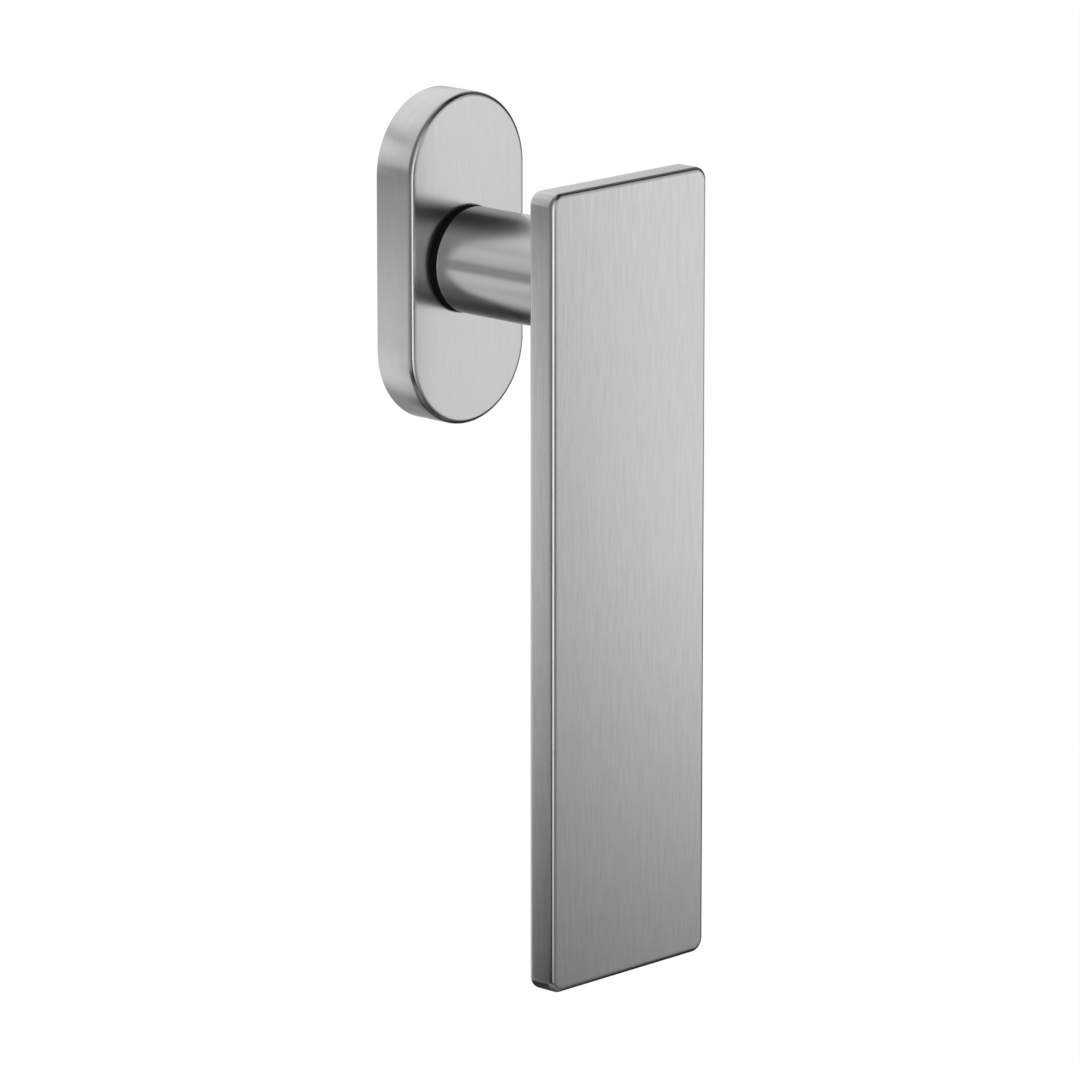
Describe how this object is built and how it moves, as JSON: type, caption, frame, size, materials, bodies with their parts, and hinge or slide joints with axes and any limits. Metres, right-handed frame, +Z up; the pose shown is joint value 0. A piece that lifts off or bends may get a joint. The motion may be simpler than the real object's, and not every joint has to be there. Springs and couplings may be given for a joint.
{
  "type": "window handle",
  "caption": "Tilt-and-turn window handle: flat brushed-steel grip plate on a round neck that turns in an oval rosette with quarter-turn detents.",
  "frame": {"origin": "on the spindle axis, at the back face of the rosette, where it meets the sash", "axes": "+Z up along the hanging grip, +Y into the sash along the spindle, +X to the right seen from the room"},
  "size_m": [0.041, 0.0555, 0.1602],
  "materials": {
    "brushed_stainless": "brushed lengthwise",
    "zinc_plated_steel": "bright zinc plate",
    "spring_steel": "oiled dark steel",
    "die_cast_zinc": "plain die-cast zinc",
    "black_nylon": "moulded matt"
  },
  "bodies": {
    "base": {"base_plate": "die_cast_zinc", "bearing_bush": "black_nylon", "rear_cover": "zinc_plated_steel", "detent_spring_left": "spring_steel", "detent_spring_right": "spring_steel", "cover_clip_left": "spring_steel", "cover_clip_right": "spring_steel"},
    "handle": {"grip_plate": "brushed_stainless", "neck": "brushed_stainless", "drive_hub": "zinc_plated_steel", "thrust_washer": "zinc_plated_steel", "detent_cam": "spring_steel", "retaining_ring": "spring_steel"},
    "cover": {"cover_cap": "brushed_stainless"}
  },
  "joints": [
    {"name": "handle_turn", "type": "hinge", "parent": "base", "child": "handle", "pos_m": [0, 0, 0], "axis": [0, 1, 0], "range_deg": [-180, 180], "deforming": ["detent_spring_left", "detent_spring_right"]},
    {"name": "cover_slide", "type": "slide", "parent": "base", "child": "cover", "axis": [0, -1, 0], "range_m": [0, 0.0348]}
  ]
}
